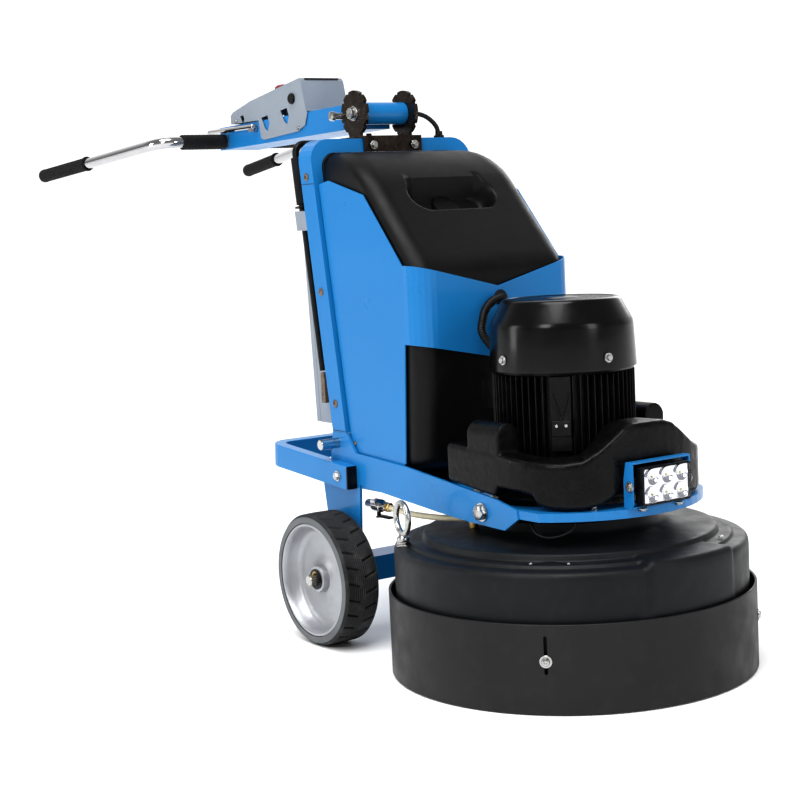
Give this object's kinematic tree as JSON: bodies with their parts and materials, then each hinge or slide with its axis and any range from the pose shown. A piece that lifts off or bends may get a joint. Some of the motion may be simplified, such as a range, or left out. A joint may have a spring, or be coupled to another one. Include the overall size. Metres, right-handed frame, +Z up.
{
  "type": "concrete grinder",
  "caption": "Walk-behind planetary floor grinder: floating grinding head under a vertical motor, ballast, water tank, two wheels and a tilting handle with controls.",
  "frame": {"origin": "on the floor under the middle of the bounding box", "axes": "+X forward, from the operator's grips to the grinding head; +Y to the machine's left; +Z up"},
  "size_m": [2.0992, 0.72, 1.2282],
  "materials": {
    "blue_paint": "gloss blue powder coat",
    "black_plastic": "fine grained black moulded plastic",
    "black_gloss": "gloss black paint",
    "black_paint": "satin black paint",
    "cast_iron": "black painted rough casting",
    "steel": "zinc plated or machined",
    "tool_steel": "ground and worn",
    "chrome": "bright chrome plate",
    "bronzed_steel": "dark bronzed gloss",
    "tyre": "solid grey rubber, staggered tread",
    "grip_foam": "ribbed black foam rubber",
    "grey_paint": "satin grey paint",
    "cream_hose": "translucent cream hose",
    "cable_rubber": "black cable sheath",
    "red_plastic": "moulded red",
    "green_plastic": "moulded green"
  },
  "bodies": {
    "root": {"chassis_frame": "blue_paint", "bumper_bar": "blue_paint", "mast": "blue_paint", "water_tank": "black_plastic", "wrap_cover": "blue_paint", "wheel_axle": "steel", "front_weight": "cast_iron", "lamp_bracket": "blue_paint", "pivot_bolt_left": "steel", "pivot_bolt_right": "steel", "cabinet": "grey_paint", "motor_drive": "black_paint", "grab_handle": "black_paint", "grab_clamp_left": "grey_paint", "grab_clamp_right": "grey_paint", "water_valve": "chrome", "water_hose": "cream_hose", "control_cable": "cable_rubber", "motor_cable": "cable_rubber", "handle_bracket": "bronzed_steel", "index_disc_left": "black_paint", "index_disc_right": "black_paint", "hub_bolt": "steel"},
    "wheel_left": {"wheel_tire_left": "tyre", "wheel_hub_left": "steel"},
    "wheel_right": {"wheel_tire_right": "tyre", "wheel_hub_right": "steel"},
    "head": {"shroud": "black_plastic", "eye_bolt": "steel", "motor_flange": "black_paint", "motor_housing": "black_paint", "motor_cowl": "black_gloss", "motor_bearing": "steel", "ring_gear": "steel"},
    "skirt": {"dust_skirt": "black_plastic"},
    "rotor": {"motor_rotor": "steel", "cooling_fan": "black_paint"},
    "carrier": {"planet_carrier": "steel"},
    "planet_1": {"planet_gear_1": "steel", "tool_disc_1": "tool_steel"},
    "planet_2": {"planet_gear_2": "steel", "tool_disc_2": "tool_steel"},
    "planet_3": {"planet_gear_3": "steel", "tool_disc_3": "tool_steel"},
    "lamp": {"lamp_housing": "black_plastic"},
    "handle": {"handle_arm": "blue_paint", "control_box": "grey_paint", "handlebar": "chrome", "hand_grip_left": "grip_foam", "hand_grip_right": "grip_foam"},
    "stop_lever": {"stop_lever": "chrome"},
    "toggle_1": {"toggle_1": "black_plastic"},
    "toggle_2": {"toggle_2": "black_plastic"},
    "start_button": {"start_button": "green_plastic"},
    "emergency_stop": {"emergency_stop": "red_plastic"},
    "speed_knob": {"speed_knob": "black_plastic"},
    "lock_pin": {"lock_pin": "steel"},
    "cabinet_door": {"cabinet_door": "grey_paint"},
    "valve_lever": {"valve_lever": "black_paint"},
    "tank_cap": {"tank_cap": "black_plastic"}
  },
  "joints": [
    {"name": "wheel_left_spin", "type": "hinge", "parent": "root", "child": "wheel_left", "pos_m": [0.20695, 0.2652, 0.1403], "axis": [0, 1, 0], "continuous": true},
    {"name": "wheel_right_spin", "type": "hinge", "parent": "root", "child": "wheel_right", "pos_m": [0.20695, -0.2652, 0.1403], "axis": [0, 1, 0], "continuous": true},
    {"name": "head_float", "type": "hinge", "parent": "root", "child": "head", "pos_m": [0.68955, 0, 0.331], "axis": [0, 1, 0], "range_deg": [-4, 4], "deforming": ["motor_cable", "water_hose"]},
    {"name": "skirt_height", "type": "slide", "parent": "head", "child": "skirt", "axis": [0, 0, 1], "range_m": [0, 0.02]},
    {"name": "carrier_spin", "type": "hinge", "parent": "head", "child": "carrier", "pos_m": [0.68955, 0, 0.107], "axis": [0, 0, 1], "continuous": true},
    {"name": "rotor_spin", "type": "hinge", "parent": "head", "child": "rotor", "pos_m": [0.68955, 0, 0.4], "axis": [0, 0, 1], "continuous": true},
    {"name": "planet_1_spin", "type": "hinge", "parent": "carrier", "child": "planet_1", "pos_m": [0.77705, 0.15155, 0.107], "axis": [0, 0, 1], "continuous": true},
    {"name": "planet_2_spin", "type": "hinge", "parent": "carrier", "child": "planet_2", "pos_m": [0.51455, 0, 0.107], "axis": [0, 0, 1], "continuous": true},
    {"name": "planet_3_spin", "type": "hinge", "parent": "carrier", "child": "planet_3", "pos_m": [0.77705, -0.15155, 0.107], "axis": [0, 0, 1], "continuous": true},
    {"name": "lamp_tilt", "type": "hinge", "parent": "root", "child": "lamp", "pos_m": [0.94955, 0, 0.388], "axis": [0, 1, 0], "range_deg": [-12, 12]},
    {"name": "handle_tilt", "type": "hinge", "parent": "root", "child": "handle", "pos_m": [0.09855, 0, 1.121], "axis": [0, 1, 0], "range_deg": [-12, 75]},
    {"name": "stop_lever_lift", "type": "hinge", "parent": "handle", "child": "stop_lever", "pos_m": [-0.35045, -0.066, 1.118], "axis": [0, 1, 0], "range_deg": [0, 35]},
    {"name": "toggle_1_throw", "type": "hinge", "parent": "handle", "child": "toggle_1", "pos_m": [-0.43845, 0.02, 1.1722], "axis": [0, 1, 0], "range_deg": [-12, 12]},
    {"name": "toggle_2_throw", "type": "hinge", "parent": "handle", "child": "toggle_2", "pos_m": [-0.29545, 0.018, 1.1992], "axis": [0, 1, 0], "range_deg": [-12, 12]},
    {"name": "start_button_press", "type": "slide", "parent": "handle", "child": "start_button", "axis": [-0.1456, 0, 0.9893], "range_m": [-0.003, 0], "stiffness_N_per_m": 400},
    {"name": "emergency_stop_press", "type": "slide", "parent": "handle", "child": "emergency_stop", "axis": [-0.1456, 0, 0.9893], "range_m": [-0.003, 0]},
    {"name": "speed_knob_turn", "type": "hinge", "parent": "handle", "child": "speed_knob", "pos_m": [-0.21045, 0.01, 1.20955], "axis": [-0.1456, 0, 0.9893], "range_deg": [-135, 135]},
    {"name": "lock_pin_pull", "type": "slide", "parent": "root", "child": "lock_pin", "axis": [0, -1, 0], "range_m": [0, 0.01], "stiffness_N_per_m": 900},
    {"name": "door_swing", "type": "hinge", "parent": "root", "child": "cabinet_door", "pos_m": [0.03839, 0.172, 0.66], "axis": [0.045, 0, -0.999], "range_deg": [0, 110]},
    {"name": "valve_turn", "type": "hinge", "parent": "root", "child": "valve_lever", "pos_m": [0.30355, -0.19, 0.275], "axis": [0, 0, 1], "range_deg": [0, 90]},
    {"name": "cap_turn", "type": "hinge", "parent": "root", "child": "tank_cap", "pos_m": [0.32427, 0, 0.90312], "axis": [0.6774, 0, 0.7356], "range_deg": [0, 90]}
  ],
  "couplings": [
    {"joint": "rotor_spin", "follows": "carrier_spin", "ratio": 6.2857},
    {"joint": "planet_1_spin", "follows": "carrier_spin", "ratio": -2.4667},
    {"joint": "planet_2_spin", "follows": "carrier_spin", "ratio": -2.4667},
    {"joint": "planet_3_spin", "follows": "carrier_spin", "ratio": -2.4667}
  ]
}
